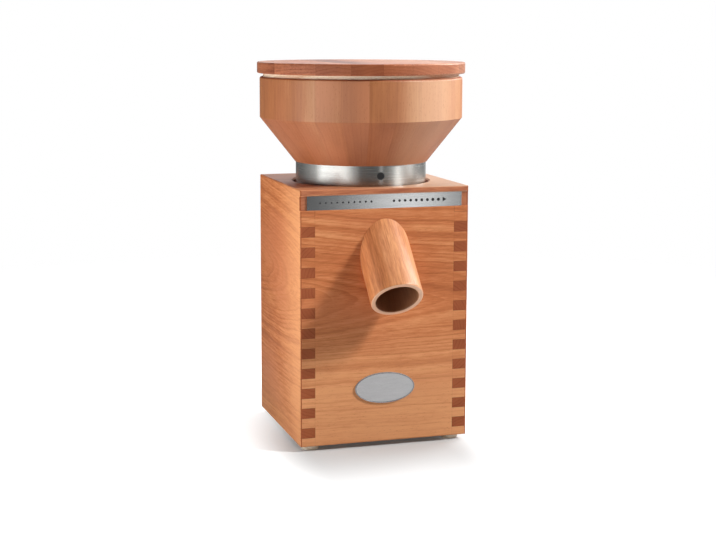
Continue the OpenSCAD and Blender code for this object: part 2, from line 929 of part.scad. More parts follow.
module switch_housing() {
    color(black) difference() {
        union() {
            at_switch() translate([-switch_h / 2, -switch_w / 2, -switch_deep])
                cube([switch_h, switch_w, switch_deep]);
            at_switch() translate([-switch_h / 2 - bezel, -switch_w / 2 - bezel, 0])
                cube([switch_h + 2 * bezel, switch_w + 2 * bezel, bezel_t]);
            for (x = [-1, 1]) at_switch() translate([x * lead_pitch - 3, -0.5, -switch_deep - tab_l])
                cube([6, 1, tab_l + eps]);
        }
        at_switch() translate([0, 0, -rocker_sink]) rotate([90, 0, 0]) {
            cylinder(r = rocker_r + rocker_gap, h = rocker_w + 2 * rocker_gap, center = true);
            cylinder(r = rocker_pin_r + rocker_pin_gap, h = rocker_w + 2 * rocker_pin_l + 1, center = true);
        }
    }
}

// A rocker with a shallow V face that turns on two short pins
module switch_rocker() {
    far = 2 * rocker_r;
    color("#1B1B1E") at_switch() translate([0, 0, -rocker_sink]) rotate([90, 0, 0]) rotate([0, 0, -rocker_tilt]) {
        intersection() {
            cylinder(r = rocker_r, h = rocker_w, center = true);
            translate([0, 0, -rocker_w / 2]) linear_extrude(rocker_w) polygon([
                [-far, -rocker_back], [far, -rocker_back],
                [far, rocker_face + far * tan(rocker_tilt)], [0, rocker_face],
                [-far, rocker_face + far * tan(rocker_tilt)]
            ]);
        }
        cylinder(r = rocker_pin_r, h = rocker_w + 2 * rocker_pin_l, center = true);
    }
}

// A spool-shaped bush that lines the hole for the supply cord
module cord_inlet() {
    sleeve_r = inlet_r + inlet_wall;
    color(black) translate([electrics_x, rear_y, inlet_c]) rotate([90, 0, 0]) difference() {
        union() {
            translate([0, 0, -inlet_flange_t]) cylinder(r = sleeve_r + inlet_flange, h = inlet_flange_t);
            cylinder(r = sleeve_r, h = board_t);
            translate([0, 0, board_t]) cylinder(r = sleeve_r + inlet_flange, h = inlet_flange_t);
        }
        translate([0, 0, -inlet_flange_t - eps])
            cylinder(r = inlet_r, h = board_t + 2 * inlet_flange_t + 2 * eps);
    }
}

// A round wire that follows straight stretches between points, with a small bead at each bend
module lead(points) {
    for (i = [0:len(points) - 2]) {
        step = points[i + 1] - points[i];
        length = norm(step);
        translate(points[i]) rotate([0, acos(step[2] / length), atan2(step[1], step[0])])
            cylinder(r = lead_r, h = length);
    }
    for (i = [1:len(points) - 2]) translate(points[i]) sphere(lead_elbow_r);
}

// From the terminal block to the switch, the motor's windings and the capacitor
module internal_leads() {
    pole_z = bottom_top_z + block_h - pole_deep;
    above_z = bottom_top_z + block_h + 5;
    fan_air_z = motor_bottom_z - fan_gap / 2;
    vent = cap_vent_at * [cos(60), sin(60)];
    cap_side = [capacitor_x + capacitor_r + 4, capacitor_y + 11];
    cap_tag_x = capacitor_x + capacitor_r / 2;
    cap_tag_z = bottom_top_z + capacitor_h + tag_h / 2;
    color("#7A4A2A") {
        for (side = [-1, 1]) {
            x = block_x + side * lead_pitch / 2;
            tag_z = switch_c - side * lead_pitch;
            lead([[x, block_y, pole_z], [x, block_y, tag_z], [electrics_x, block_y, tag_z]]);
        }
        lead([
            [block_x + 1.5 * lead_pitch, block_y, pole_z],
            [block_x + 1.5 * lead_pitch, block_y, fan_air_z],
            [vent[0], vent[1], fan_air_z],
            [vent[0], vent[1], stator_z - winding_h]
        ]);
        lead([
            [block_x - 1.5 * lead_pitch, block_y, pole_z],
            [block_x - 1.5 * lead_pitch, block_y, above_z],
            [cap_side[0], cap_side[1], above_z],
            [cap_side[0], cap_side[1], cap_tag_z],
            [cap_tag_x, cap_side[1], cap_tag_z],
            [cap_tag_x, capacitor_y + 0.5, cap_tag_z]
        ]);
    }
}

// ---------------------------------------------------------------- rotor

module drive_pin_form(gap = 0) {
    translate([-pin_l / 2, 0, pin_z]) rotate([0, 90, 0]) cylinder(r = pin_r + gap, h = pin_l);
}

module carrier_screw_form() {
    translate([0, 0, lower_stone_z + hub_h]) {
        cylinder(r = carrier_screw_head_r, h = carrier_screw_head_h);
        translate([0, 0, -carrier_screw_l]) cylinder(r = carrier_screw_r, h = carrier_screw_l + eps);
    }
}

module motor_shaft() {
    color(steel) difference() {
        union() {
            bar(shaft_r, shaft_bottom_z, shaft_top_z);
            bar(shaft_core_r, lower_bearing_z + bearing_h, upper_bearing_z);
        }
        drive_pin_form();
        carrier_screw_form();
    }
}

module cage_bar_form() {
    ring_of(rotor_bars, bar_at) bar(bar_r, stator_z, stator_top_z);
}

module rotor_core() {
    color("#6E7278") difference() {
        tube(rotor_r, shaft_core_r, stator_z, stator_top_z);
        cage_bar_form();
    }
}

module rotor_cage() {
    color(cast) {
        cage_bar_form();
        tube(end_ring_r, bar_at - 2 * bar_r, stator_top_z, stator_top_z + end_ring_h);
        tube(end_ring_r, bar_at - 2 * bar_r, stator_z - end_ring_h, stator_z);
    }
}

module cooling_fan() {
    color(black) difference() {
        union() {
            bar(fan_d / 2, fan_top_z - fan_plate, fan_top_z);
            bar(fan_hub_r, shaft_bottom_z, fan_top_z);
            ring_of(fan_blades, fan_hub_r - 1) rotate([0, 0, 12])
                translate([0, -fan_blade_t / 2, shaft_bottom_z + fan_plate])
                    cube([fan_d / 2 - fan_hub_r - 1, fan_blade_t, fan_h]);
        }
        bar(shaft_r, shaft_bottom_z - eps, fan_top_z + eps);
    }
}

// The disc that carries the lower millstone; its slot drops over the drive pin
module stone_carrier() {
    color(cast) difference() {
        union() {
            bar(carrier_d / 2, carrier_z, lower_stone_z);
            bar(hub_r, carrier_z, lower_stone_z + hub_h);
            ring_of(vanes, 0) translate([carrier_d / 2 - 3, -vane_t / 2, floor_z + vane_floor_gap])
                cube([chamber_r - vane_gap - carrier_d / 2 + 3, vane_t, vane_h]);
        }
        bar(shaft_r, carrier_z - eps, shaft_top_z);
        drive_pin_form();
        translate([-pin_l / 2, -pin_r, carrier_z - pin_r]) cube([pin_l, 2 * pin_r, 2 * pin_r]);
        carrier_screw_form();
    }
}

module drive_pin() {
    color(steel) drive_pin_form();
}

module carrier_screw() {
    color(zinc) carrier_screw_form();
}

// Straight furrows that lean forward from the eye to the rim, below a face at height 0
module furrow_form() {
    lean = 25;
    ring_of(furrows, 0) translate([eye_r * 0.7, 0, 0]) rotate([0, 0, lean]) rotate([0, -1.5, 0])
        translate([0, -furrow_w / 2, -furrow_deep]) cube([stone_r, furrow_w, 2 * furrow_deep]);
}

module lower_millstone() {
    color(stone) difference() {
        tube(stone_r, hub_r, lower_stone_z, mill_z);
        translate([0, 0, mill_z]) furrow_form();
    }
}

// ---------------------------------------------------------------- hopper

module holder_screw_form() {
    ring_of(4, holder_screw_at, 45) translate([0, 0, stone_top_z - holder_seat])
        pan_screw(holder_screw_r, holder_screw_head_r, holder_screw_head_h,
            spigot_z - stone_top_z + holder_seat + holder_screw_bite);
}

module marker_form() {
    translate([0, -(collar_r + marker_proud), marker_z]) rotate([-90, 0, 0])
        cylinder(r = marker_d / 2, h = marker_deep + marker_proud);
}

module guard_form() {
    bar(throat_r, spigot_z, throat_z);
    bar(throat_r + guard_flange, throat_z - guard_t, throat_z);
}

module hopper_bowl() {
    color(beech) difference() {
        rotate_extrude() {
            polygon([
                [throat_r - eps, spigot_z], [spigot_r, spigot_z], [spigot_r, cone_z], [cone_d / 2, cone_z],
                [bowl_r, bowl_edge_z], [bowl_r, rim_z - rim_r], [bowl_r - rim_r, rim_z],
                [bowl_inner_r + rim_r, rim_z], [bowl_inner_r, rim_z - rim_r], [bowl_inner_r, funnel_z],
                [throat_r - eps, throat_z]
            ]);
            for (r = [bowl_r - rim_r, bowl_inner_r + rim_r]) translate([r, rim_z - rim_r]) circle(rim_r);
        }
        guard_form();
        bar(throat_r + guard_flange, throat_z - eps, rim_z);
        holder_screw_form();
        marker_form();
    }
}

module hopper_collar() {
    color(steel) difference() {
        tube(collar_r, spigot_r, spigot_z, cone_z);
        marker_form();
    }
}

module index_marker() {
    color(black) marker_form();
}

// The threaded ring under the hopper that holds the upper millstone
module stone_holder() {
    color(cast) difference() {
        bar(thread_r, holder_z, spigot_z);
        bar(stone_r, holder_z - eps, stone_top_z);
        bar(holder_bore_r, holder_z, spigot_z + eps);
        holder_screw_form();
        ring_of(4, holder_screw_at, 45) bar(holder_screw_head_r, holder_z - eps, stone_top_z - holder_seat);
    }
}

module holder_screws() {
    color(zinc) holder_screw_form();
}

module upper_millstone() {
    color(stone) difference() {
        tube(stone_r, eye_r, upper_stone_z, stone_top_z);
        translate([0, 0, upper_stone_z]) mirror([0, 0, 1]) furrow_form();
    }
}

// A plastic liner of the throat with one bar across it that keeps fingers out
module throat_guard() {
    color(black) {
        difference() {
            guard_form();
            bar(throat_r - guard_wall, spigot_z - eps, throat_z + eps);
        }
        intersection() {
            bar(throat_r - guard_wall / 2, spigot_z, throat_z);
            translate([-throat_r, -guard_bar_w / 2, throat_z - 2 * guard_bar_h])
                cube([throat_d, guard_bar_w, guard_bar_h]);
        }
    }
}

// ---------------------------------------------------------------- lid

module lid() {
    color(beech_dark) translate([0, 0, lid_z]) rotate_extrude() {
        square([lid_r - edge_r, lid_t]);
        translate([0, edge_r]) square([lid_r, lid_t - 2 * edge_r]);
        for (z = [edge_r, lid_t - edge_r]) translate([lid_r - edge_r, z]) circle(edge_r);
    }
}

// A pale disc under the lid: its step lies on the rim and its boss centres it in the bowl
module lid_insert() {
    color(beech_pale) {
        bar(insert_d / 2, rim_z, lid_z);
        bar(boss_r, rim_z - insert_boss, rim_z + eps);
    }
}

// ---------------------------------------------------------------- nodes

front_panel();
rear_panel();
left_panel();
right_panel();
top_board();
bottom_plate();
scale_plate();
badge_plate();
spout();
for (i = [0:3]) foot(i);
foot_screws();
bottom_screws();
milling_chamber();
thread_ring();
ring_screws();
chamber_screws();
shaft_seal();
upper_motor_cap();
lower_motor_cap();
stator_core();
stator_windings();
motor_bolts();
motor_screws();
bearing_outer(upper_bearing_z);  // upper_bearing_outer
bearing_outer(lower_bearing_z);  // lower_bearing_outer
capacitor();
capacitor_clip();
terminal_block();
switch_housing();
cord_inlet();
internal_leads();
motor_shaft();
rotor_core();
rotor_cage();
cooling_fan();
bearing_inner(upper_bearing_z);  // upper_bearing_inner
bearing_inner(lower_bearing_z);  // lower_bearing_inner
ball_set(upper_bearing_z);  // upper_ball_set
ball_set(lower_bearing_z);  // lower_ball_set
stone_carrier();
drive_pin();
lower_millstone();
carrier_screw();
hopper_bowl();
hopper_collar();
index_marker();
stone_holder();
holder_screws();
upper_millstone();
throat_guard();
lid();
lid_insert();
switch_rocker();
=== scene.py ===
"""Looks of a table-top electric grain mill with a wooden case, spout, hopper and lid.

Sizes are in metres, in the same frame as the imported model: the origin is on the table under the
mill's axis, +Z is up and the front faces -Y. The pieces come in the order in which the mill is made.
"""

import math

import bpy
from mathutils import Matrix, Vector


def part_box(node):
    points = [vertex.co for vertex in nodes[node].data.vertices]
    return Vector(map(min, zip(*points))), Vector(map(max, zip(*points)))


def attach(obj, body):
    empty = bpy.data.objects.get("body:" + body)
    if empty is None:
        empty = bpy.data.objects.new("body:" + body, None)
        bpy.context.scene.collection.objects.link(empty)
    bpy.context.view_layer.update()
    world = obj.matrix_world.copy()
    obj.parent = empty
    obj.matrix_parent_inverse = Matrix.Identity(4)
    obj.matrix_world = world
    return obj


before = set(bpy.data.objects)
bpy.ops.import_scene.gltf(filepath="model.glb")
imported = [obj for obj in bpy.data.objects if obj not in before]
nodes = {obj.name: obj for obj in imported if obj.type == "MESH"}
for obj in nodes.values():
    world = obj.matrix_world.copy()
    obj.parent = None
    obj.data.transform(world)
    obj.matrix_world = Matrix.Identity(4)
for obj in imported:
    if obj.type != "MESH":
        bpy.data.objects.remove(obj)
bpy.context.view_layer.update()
bpy.ops.object.select_all(action="DESELECT")


# ---------------------------------------------------------------- wooden case
# Four upright beech boards meet in half-blind finger joints: the side boards' end grain shows as dark
# squares in the front and the rear, and a thin skin of them covers the joint on the sides. A thick top
# board is let in flush, and everything is oiled.

MM = 0.001
FINGER_H = 10 * MM
FINGER_FIRST = 9 * MM
JOINT_SKIN = 1.4 * MM
SEAM_EDGE = 0.28 * MM
SEAM_CORE = 0.08 * MM
SOFT = 0.2 * MM


def rgb(red, green, blue):
    """A colour given as a screen shows it, from 0 to 255, as light values."""
    parts = [c / 255 for c in (red, green, blue)]
    return [c / 12.92 if c <= 0.04 else ((c + 0.055) / 1.055) ** 2.4 for c in parts] + [1]


def darker(colour, share):
    return [c * share for c in colour[:3]] + [1]


class Socket:
    """A shader value that takes part in sums."""

    def __init__(self, finish, link):
        self.finish = finish
        self.link = link

    def math(self, operation, *others):
        return self.finish.node("ShaderNodeMath", {"operation": operation}, [self, *others])

    def __add__(self, other):
        return self.math("ADD", other)

    __radd__ = __add__

    def __sub__(self, other):
        return self.math("SUBTRACT", other)

    def __rsub__(self, other):
        return self.finish.node("ShaderNodeMath", {"operation": "SUBTRACT"}, [other, self])

    def __mul__(self, other):
        return self.math("MULTIPLY", other)

    __rmul__ = __mul__

    def __truediv__(self, other):
        return self.math("DIVIDE", other)

    def step(self, low, high):
        """0 below low, 1 above high, and smooth between them; high may be the lower one."""
        settings = {"interpolation_type": "SMOOTHSTEP"}
        if low < high:
            return self.finish.node("ShaderNodeMapRange", settings, [self, low, high, 0.0, 1.0])
        return self.finish.node("ShaderNodeMapRange", settings, [self, high, low, 1.0, 0.0])


class Finish:
    """The finish of a surface: a material, or the world, and its nodes."""

    def __init__(self, name, world=False):
        self.material = (bpy.data.worlds if world else bpy.data.materials).new(name)
        self.material.use_nodes = True
        self.tree = self.material.node_tree
        self.tree.nodes.clear()

    def node(self, kind, settings=None, values=(), result=0):
        """Adds one node. Its settings come first, then its values or links, by place or by name."""
        made = self.tree.nodes.new(kind)
        for key, value in (settings or {}).items():
            if key == "stops":
                while len(made.color_ramp.elements) < len(value):
                    made.color_ramp.elements.new(1)
                for element, (place, colour) in zip(made.color_ramp.elements, value):
                    element.position, element.color = place, colour
            elif key == "blend":
                made.color_ramp.interpolation = value
            else:
                setattr(made, key, value)
        for key, value in values.items() if isinstance(values, dict) else enumerate(values):
            if isinstance(value, Socket):
                self.tree.links.new(value.link, made.inputs[key])
            elif value is not None:
                made.inputs[key].default_value = value
        return Socket(self, made.outputs[result]) if made.outputs else None

    def point(self, grain=(1, 0, 0)):
        """Places on the piece in millimetres, turned so that the grain runs along the first axis."""
        turn = Vector(grain).rotation_difference(Vector((1, 0, 0))).to_euler()
        at = self.node("ShaderNodeTexCoord", result="Object")
        return self.node("ShaderNodeMapping", {}, [at, None, turn, (1 / MM,) * 3])

    def axes(self, vector):
        return [self.node("ShaderNodeSeparateXYZ", {}, [vector], i) for i in range(3)]

    def vector(self, x, y, z):
        return self.node("ShaderNodeCombineXYZ", {}, [x, y, z])

    def noise(self, at, sizes, detail=2.0, start=0.0, roughness=0.5):
        """Soft noise from 0 to 1 whose lumps have these sizes in millimetres."""
        shape = [1 / s for s in sizes]
        scaled = self.node("ShaderNodeVectorMath", {"operation": "MULTIPLY_ADD"}, [at, shape, (start,) * 3])
        return self.node("ShaderNodeTexNoise", {}, {"Vector": scaled, "Scale": 1.0, "Detail": detail,
                                                    "Roughness": roughness})

    def mix(self, factor, first, second):
        return self.node("ShaderNodeMix", {"data_type": "RGBA"}, {0: factor, 6: first, 7: second}, 2)

    def bump(self, height, distance, strength):
        return self.node("ShaderNodeBump", {}, {"Height": height, "Distance": distance, "Strength": strength})

    def surface(self, **values):
        """The shader itself, with its sockets given by name."""
        made = self.node("ShaderNodeBsdfPrincipled", {}, {k.replace("_", " "): v for k, v in values.items()})
        self.node("ShaderNodeOutputMaterial", {}, [made])
        return self

    def on(self, *names):
        """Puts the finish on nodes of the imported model."""
        for name in names:
            for place in nodes[name].material_slots:
                place.material = self.material
        return self


OILED_LIGHT = rgb(232, 160, 106)
OILED_MIDDLE = rgb(208, 127, 78)
OILED_DARK = rgb(162, 86, 50)
OILED_PINK = rgb(204, 125, 83)
# Painted light: the paler colour that pale mixes into the wood.
OILED_PAINTED_LIGHT = rgb(228, 164, 116)
END_LIGHT = rgb(174, 97, 62)
END_DARK = rgb(134, 70, 44)
# The brown of glue lines, also used as painted shade in the spout's bore.
GLUE_AND_SHADE_BROWN = rgb(84, 44, 26)
RAY_FLECK = (1 / 4.2, 1 / 1.1, 1 / 1.1)
PORES_PER_MM = 1.6


def beech(wood, at, pith, lean=(0.0, 0.0), ring=3.4, board=0.0, seed=0.0, bend=8, light=OILED_LIGHT,
          middle=OILED_MIDDLE, dark=OILED_DARK, figure=1.0, streaks=0.85, end=None, seam=0.0, pale=0.0,
          sap=OILED_PAINTED_LIGHT, roughness=0.52, shine=0.2):
    """Oiled beech. Growth rings lie round a pith that leans a little off the grain, so that a flat
    board shows lines and long arches. pith is its place across and below, ring the rings' pitch and bend
    their waviness, all in millimetres, and lean its slope. board is a number of its own for each glued
    board, and on some pieces it also darkens places as painted shade. end is a mask of end grain, seam a
    mask of glue lines and of painted shade in a bore, and pale a mask of painted light, which lightens the
    wood and mixes in a paler colour as painted highlight and sheen. figure is the strength of the rings
    and streaks that of the fibres."""
    along, across, deep = wood.axes(at)
    slow = wood.noise(at, (260, 70, 70), 1.0, seed)
    quick = wood.noise(at, (60, 12, 12), 2.0, seed + 7)
    side = across - pith[0] - along * lean[0] + board * 37
    under = deep - pith[1] - along * lean[1] + board * 21
    radius = (side * side + under * under).math("SQRT") + (slow - 0.5) * bend * 2 + (quick - 0.5) * 3.5
    year = radius / ring
    soft = wood.node("ShaderNodeTexNoise", {"noise_dimensions": "1D"},
                     {"W": year * 0.55 + seed, "Scale": 1.0, "Detail": 2.0, "Roughness": 0.6})
    phase = year.math("FRACT")
    each = wood.node("ShaderNodeTexWhiteNoise", {"noise_dimensions": "1D"}, {"W": year.math("FLOOR")})
    late = phase.step(0.45, 0.93) * phase.step(1.0, 0.94) * (each * 0.85 + 0.15)
    fibre = wood.noise(at, (15, 1.5, 1.5), 3.0, seed + 3, 0.65)
    cloud = wood.noise(at, (90, 26, 26), 2.0, seed + 11)
    tint = wood.noise(at, (160, 60, 60), 1.0, seed + 17)
    short = wood.node("ShaderNodeVectorMath", {"operation": "MULTIPLY"}, [at, RAY_FLECK])
    cell = wood.node("ShaderNodeTexVoronoi", {"feature": "F1"}, {"Vector": short, "Scale": 1.0})
    fleck = cell.step(0.32, 0.12) * fibre.step(0.42, 0.58)

    tone = 0.42 + ((soft - 0.5) * 0.95 + (late - 0.16) * 0.34) * figure + (fibre - 0.5) * streaks
    # pale is painted light: it lifts the tone here and mixes in a paler colour below, as painted highlight
    # and sheen.
    tone = tone + (cloud - 0.5) * 0.55 + board * 0.5 - pale * 0.32
    colour = wood.node("ShaderNodeValToRGB", {"stops": [(0.0, light), (0.42, middle), (1.0, dark)]}, [tone])
    colour = wood.mix(tint.step(0.50, 0.75) * 0.6, colour, OILED_PINK)
    if isinstance(pale, Socket):
        colour = wood.mix(pale * 0.45, colour, sap)
    colour = wood.mix(fleck * 0.30, colour, dark)
    rough = roughness + (fibre - 0.5) * 0.18 + late * 0.05
    height = fibre * 0.5 - fleck * 0.3 - late * 0.12
    if end is not None:
        fine = wood.node("ShaderNodeVectorMath", {"operation": "SCALE"}, {0: at, "Scale": PORES_PER_MM})
        pore = wood.node("ShaderNodeTexVoronoi", {"feature": "F1"}, {"Vector": fine, "Scale": 1.0})
        end_tone = 0.35 + late * 0.4 + (cloud - 0.5) * 0.9 + board * 0.4 + pore.step(0.45, 0.15) * 0.3
        ends = wood.mix(end_tone, END_LIGHT, END_DARK)
        colour = wood.mix(end, colour, ends)
        rough = rough + end * 0.12
    # seam darkens glue lines, and on the spout it paints shade in the bore.
    if isinstance(seam, Socket):
        colour = wood.mix(seam * 0.55, colour, GLUE_AND_SHADE_BROWN)
        height = height - seam * 1.2
    return wood.surface(Base_Color=colour, Roughness=rough, Specular_IOR_Level=shine,
                        Normal=wood.bump(height, 0.12 * MM, 0.5))


def end_grain(wood, grain, low=0.62, high=0.80):
    """Where the surface looks along the grain."""
    normal = wood.node("ShaderNodeTexCoord", result="Normal")
    facing = wood.node("ShaderNodeVectorMath", {"operation": "DOT_PRODUCT"}, [normal, grain], "Value")
    return facing.math("ABSOLUTE").step(low, high)


def finger_seams(wood):
    """Thin glue lines round the fingers of the joints, in the front and the rear of the case."""
    x, y, z = wood.axes(wood.node("ShaderNodeTexCoord", result="Object"))
    low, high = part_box("left_panel")
    joint_x = -high.x
    turn = (z - (low.z + FINGER_FIRST)) / FINGER_H
    top_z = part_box("top_board")[0].z
    off_line = (turn - turn.math("ROUND")).math("ABSOLUTE") * FINGER_H
    off_end = (x.math("ABSOLUTE") - joint_x).math("ABSOLUTE")
    in_joint = x.math("ABSOLUTE").step(joint_x - SOFT, joint_x)
    is_finger = (turn * 0.5).math("FRACT").step(0.505, 0.495)
    at_ends = y.math("ABSOLUTE").step(-low.y - JOINT_SKIN - SOFT, -low.y - JOINT_SKIN + SOFT)
    lines = in_joint * off_line.step(SEAM_EDGE, SEAM_CORE)
    stops = off_end.step(SEAM_EDGE, SEAM_CORE) * (is_finger * 0.7 + 0.3)
    below_top = z.step(top_z - SOFT / 2, top_z - SOFT * 1.5)
    return lines.math("MAXIMUM", stops) * at_ends * below_top


def case_board(name, grain, pith, lean, seed, figure=1.0, upright=True, sapwood=(), **colours):
    """One board of the case. Each entry of the list of painted light is a direction and the two distances
    along it, in millimetres, between which the wood is painted paler, as painted light. On the top board
    the upright faces are painted darker, as painted shade, and get no painted light."""
    wood = Finish(name)
    # Painted shade: the top board's upright faces are darkened and kept free of painted light.
    edge = 0.0 if upright else end_grain(wood, (0, 0, 1), 0.8, 0.3)
    pale = 0.0
    for way, low, high in sapwood:
        at = wood.node("ShaderNodeTexCoord", result="Object")
        gone = wood.node("ShaderNodeVectorMath", {"operation": "DOT_PRODUCT"}, [at, way], "Value")
        pale = (gone.step(low * MM, high * MM) * (1 - edge)).math("MAXIMUM", pale)
    return beech(wood, wood.point(grain), pith, lean, seed=seed, figure=figure, end=end_grain(wood, grain),
                 seam=finger_seams(wood) if upright else 0.0, board=edge * 0.8, pale=pale,
                 roughness=0.52 if upright else 0.38, shine=0.12 if upright else 0.6, **colours).on(name)


# The front is painted paler towards the bottom, as painted light.
case_board("front_panel", (1, 0, 0), (-50, 148), (0.11, -0.04), 1.3, figure=0.85,
           sapwood=[((0, 0, -1), -155, -25)],
           light=rgb(226, 156, 106), middle=rgb(199, 121, 76), dark=rgb(152, 82, 50))
case_board("rear_panel", (1, 0, 0), (40, 90), (0.12, 0.0), 5.1, figure=0.8)
# The left board is painted paler towards its front edge and its bottom, as painted light.
case_board("left_panel", (0, 1, 0), (60, 165), (0.20, 0.03), 2.4, figure=0.8,
           sapwood=[((0, -1, 0), -20, 90), ((0, 0, -1), -90, 30)],
           light=rgb(220, 146, 92), middle=rgb(192, 112, 64), dark=rgb(146, 76, 42))
case_board("right_panel", (0, 1, 0), (-55, 120), (-0.15, 0.05), 8.2, figure=0.7)
# The top board is painted paler and greyer towards the right, as painted sheen.
case_board("top_board", (1, 0, 0), (60, 330), (0.1, 0.0), 3.7, figure=0.6, upright=False,
           sapwood=[((1, 0, 0), -60, 70)],
           light=rgb(231, 167, 122), middle=rgb(209, 135, 93), dark=rgb(163, 92, 60), sap=rgb(172, 164, 146))


# ---------------------------------------------------------------- bottom plate, feet and screws
# The bottom is birch plywood let into a rebate, with a row of air slots and countersunk screws. Four
# turned off-white plastic feet are screwed on, each with its screw head sunk in the middle.

PLY = 1.35 * MM

plywood = Finish("birch_plywood")
ply_at = plywood.point()
ply_fibre = plywood.noise(ply_at, (24, 1.2, 1.2), 3.0, 2.0, 0.6)
ply_cloud = plywood.noise(ply_at, (90, 30, 30), 2.0, 4.0)
ply_layer = (plywood.axes(ply_at)[2] / (2 * PLY / MM)).math("FRACT").step(0.46, 0.54)
ply_normal = plywood.node("ShaderNodeTexCoord", result="Normal")
ply_edge = plywood.axes(ply_normal)[2].math("ABSOLUTE").step(0.6, 0.4)
ply_face = plywood.mix(ply_fibre * 0.6 + ply_cloud * 0.4, rgb(224, 196, 152), rgb(190, 152, 104))
plywood.surface(Base_Color=plywood.mix(ply_edge * ply_layer * 0.6, ply_face, rgb(140, 98, 62)),
                Roughness=0.55 + ply_fibre * 0.15, Normal=plywood.bump(ply_fibre, 0.2 * MM, 0.4))
plywood.on("bottom_plate")


def moulded(name, colour, roughness, grain=0.35):
    """Moulded plastic or rubber with the fine texture of its mould."""
    plastic = Finish(name)
    at = plastic.point()
    fine = plastic.noise(at, (0.9,) * 3, 3.0, 0.0, 0.6)
    cloud = plastic.noise(at, (16,) * 3, 2.0, 5.0)
    return plastic.surface(Base_Color=plastic.mix(cloud * 0.5, colour, darker(colour, 0.86)),
                           Roughness=roughness + (fine - 0.5) * 0.14,
                           Normal=plastic.bump(fine, 0.06 * MM, grain))


moulded("foot_plastic", rgb(240, 230, 208), 0.42).on(
    "foot_front_left", "foot_front_right", "foot_rear_left", "foot_rear_right")


def plated(name, colour, roughness, size=2.0):
    """Plated, ground or cast metal with faint clouds, whose size is in millimetres."""
    metal = Finish(name)
    at = metal.point()
    cloud = metal.noise(at, (size * 6,) * 3, 3.0, 1.0)
    fine = metal.noise(at, (size * 0.3,) * 3, 3.0, 9.0, 0.65)
    return metal.surface(Base_Color=metal.mix(cloud * 0.8, colour, darker(colour, 0.72)), Metallic=1.0,
                         Roughness=roughness + (fine - 0.5) * 0.2, Normal=metal.bump(fine, 0.05 * MM, 0.5))


plated("zinc_plating", rgb(196, 198, 204), 0.34).on(
    "foot_screws", "bottom_screws", "ring_screws", "chamber_screws", "motor_bolts", "motor_screws",
    "carrier_screw", "holder_screws", "capacitor_clip")


# ---------------------------------------------------------------- spout
# A tube turned from paler beech, with its grain along the tube. Its slanted end is glued into a seat
# in the front board. The wood is painted darker on the left and in the bore, as painted shade, and
# painted paler on the right and the rim, as painted sheen and highlight.

SPOUT_SLOPE = math.radians(45)
SPOUT_AXIS = (0, -math.cos(SPOUT_SLOPE), -math.sin(SPOUT_SLOPE))
SPOUT_ROOT_Y = -83 * MM
SPOUT_ROOT_Z = 193 * MM
SPOUT_BORE_R = 21 * MM
spout_wood = Finish("spout_beech")
spout_x, spout_y, spout_z = spout_wood.axes(spout_wood.node("ShaderNodeTexCoord", result="Object"))
spout_off = (spout_y - SPOUT_ROOT_Y) * SPOUT_AXIS[2] - (spout_z - SPOUT_ROOT_Z) * SPOUT_AXIS[1]
spout_off = (spout_x * spout_x + spout_off * spout_off).math("SQRT")
# Painted shade: the inside of the bore is darkened.
spout_bore_shade = spout_off.step(SPOUT_BORE_R + 0.8 * MM, SPOUT_BORE_R)
# Painted highlight on the rim, and painted sheen towards the right.
spout_painted_highlight = end_grain(spout_wood, SPOUT_AXIS) * 1.6 + spout_x.step(0, 24 * MM) * 0.5
# board paints shade on the left of the tube, pale the highlight and sheen, and seam the shade in the bore.
beech(spout_wood, spout_wood.point(SPOUT_AXIS), (35, 70), ring=4.0, seed=6.6, streaks=1.7, figure=0.7,
      light=rgb(236, 166, 112), middle=rgb(212, 136, 84), dark=rgb(174, 98, 58),
      board=spout_x.step(0, -22 * MM) * 0.38, pale=spout_painted_highlight, sap=rgb(242, 196, 164),
      seam=spout_bore_shade * 1.1, roughness=0.36, shine=0.8).on("spout")


# ---------------------------------------------------------------- scale plate
# A strip of brushed steel glued into the rebate under the top board's front edge. Dots that grow
# towards an arrowhead are printed on it, and show which way to turn the hopper for coarser meal.

def brushed(name, along, colour, roughness, streak, turned=False, metallic=1.0):
    """Steel brushed along an axis, or round the mill's axis where turned is true. streak is the length
    of its lines in millimetres."""
    steel = Finish(name)
    at = steel.point(along)
    if turned:
        x, y, z = steel.axes(steel.node("ShaderNodeTexCoord", result="Object"))
        angle = y.math("ARCTAN2", x)
        radius = (x * x + y * y).math("SQRT")
        at = steel.vector(angle * radius / MM, z / MM, radius / MM)
    lines = steel.noise(at, (streak, 0.28, 0.28), 4.0, 0.0, 0.7)
    broad = steel.noise(at, (streak * 2, 2.2, 2.2), 2.0, 4.0)
    shade = (lines - 0.5) * 0.9 + (broad - 0.5) * 0.5 + 0.5
    return steel.surface(Base_Color=steel.mix(shade, colour, darker(colour, 0.70)), Metallic=metallic,
                         Roughness=roughness + (lines - 0.5) * 0.10, Anisotropic=0.9,
                         Anisotropic_Rotation=0.25, Normal=steel.bump(lines, 0.02 * MM, 0.4))


brushed("scale_steel", (1, 0, 0), rgb(198, 199, 199), 0.11, 40).on("scale_plate")

DOT_PITCH = 5.8 * MM
DOT_FIRST = -66.6 * MM
DOT_COUNT = 22
DOT_GAP = (10, 11, 12)
DOT_SMALL = 0.74 * MM
DOT_GROWS = 0.040 * MM
ARROW_L = 5.2 * MM
PRINT_T = 0.06 * MM


def straightened(name):
    """The active piece with its place in its mesh, renamed and deselected."""
    piece = bpy.context.object
    piece.name = piece.data.name = name
    bpy.ops.object.transform_apply(location=True, rotation=True, scale=True)
    piece.select_set(False)
    return piece


def dressed(piece, finish, body):
    """Gives a piece its finish and the body that carries it."""
    piece.data.materials.clear()
    piece.data.materials.append(finish.material)
    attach(piece, body)


def joined(pieces, name):
    for piece in pieces:
        piece.select_set(True)
    bpy.context.view_layer.objects.active = pieces[0]
    bpy.ops.object.join()
    return straightened(name)


